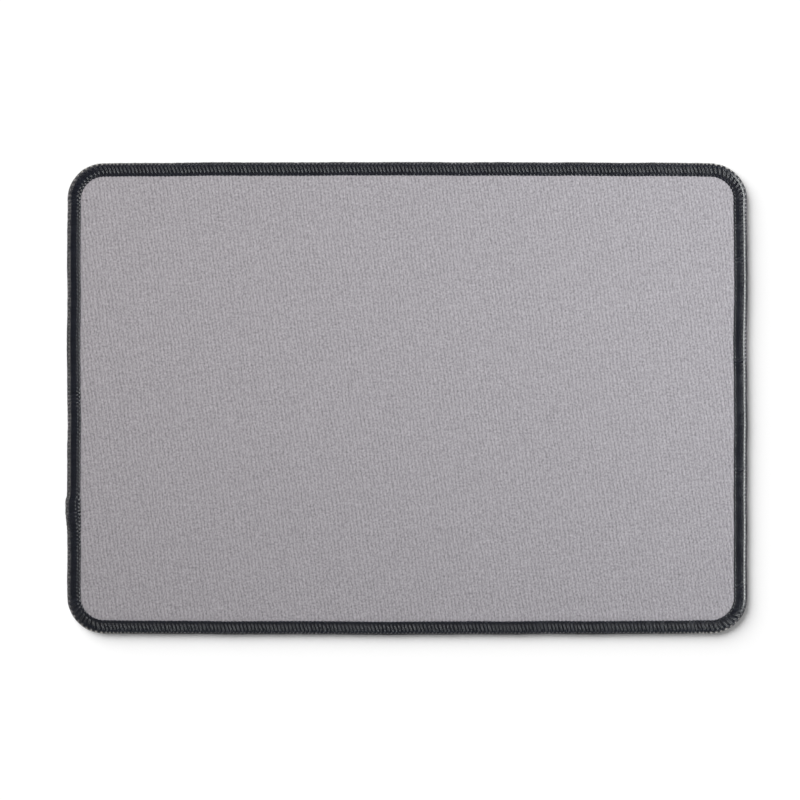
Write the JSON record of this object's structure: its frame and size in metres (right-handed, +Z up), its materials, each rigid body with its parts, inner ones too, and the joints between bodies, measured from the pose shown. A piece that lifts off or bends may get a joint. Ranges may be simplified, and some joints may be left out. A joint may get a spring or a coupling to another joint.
{
  "type": "mouse pad",
  "caption": "Flat rounded-rectangle mouse pad: a knitted cloth face bonded to a foam rubber base, its edge bound all round by an overlock seam.",
  "frame": {"origin": "middle of the underside, in the plane that lies on the desk", "axes": "+Z up out of the cloth face, +X along the long side to the right, +Y along the short side to the far edge, with the seam's overlap on the -X edge"},
  "size_m": [0.3208, 0.222, 0.0044],
  "materials": {
    "cloth": "matte",
    "thread": "satin",
    "foam_rubber": "matte",
    "adhesive": "satin"
  },
  "bodies": {
    "root": {"rubber_base": "foam_rubber", "bond_film": "adhesive", "top_cloth": "cloth", "upper_looper_thread": "thread", "lower_looper_thread": "thread", "needle_thread": "thread"}
  },
  "joints": []
}
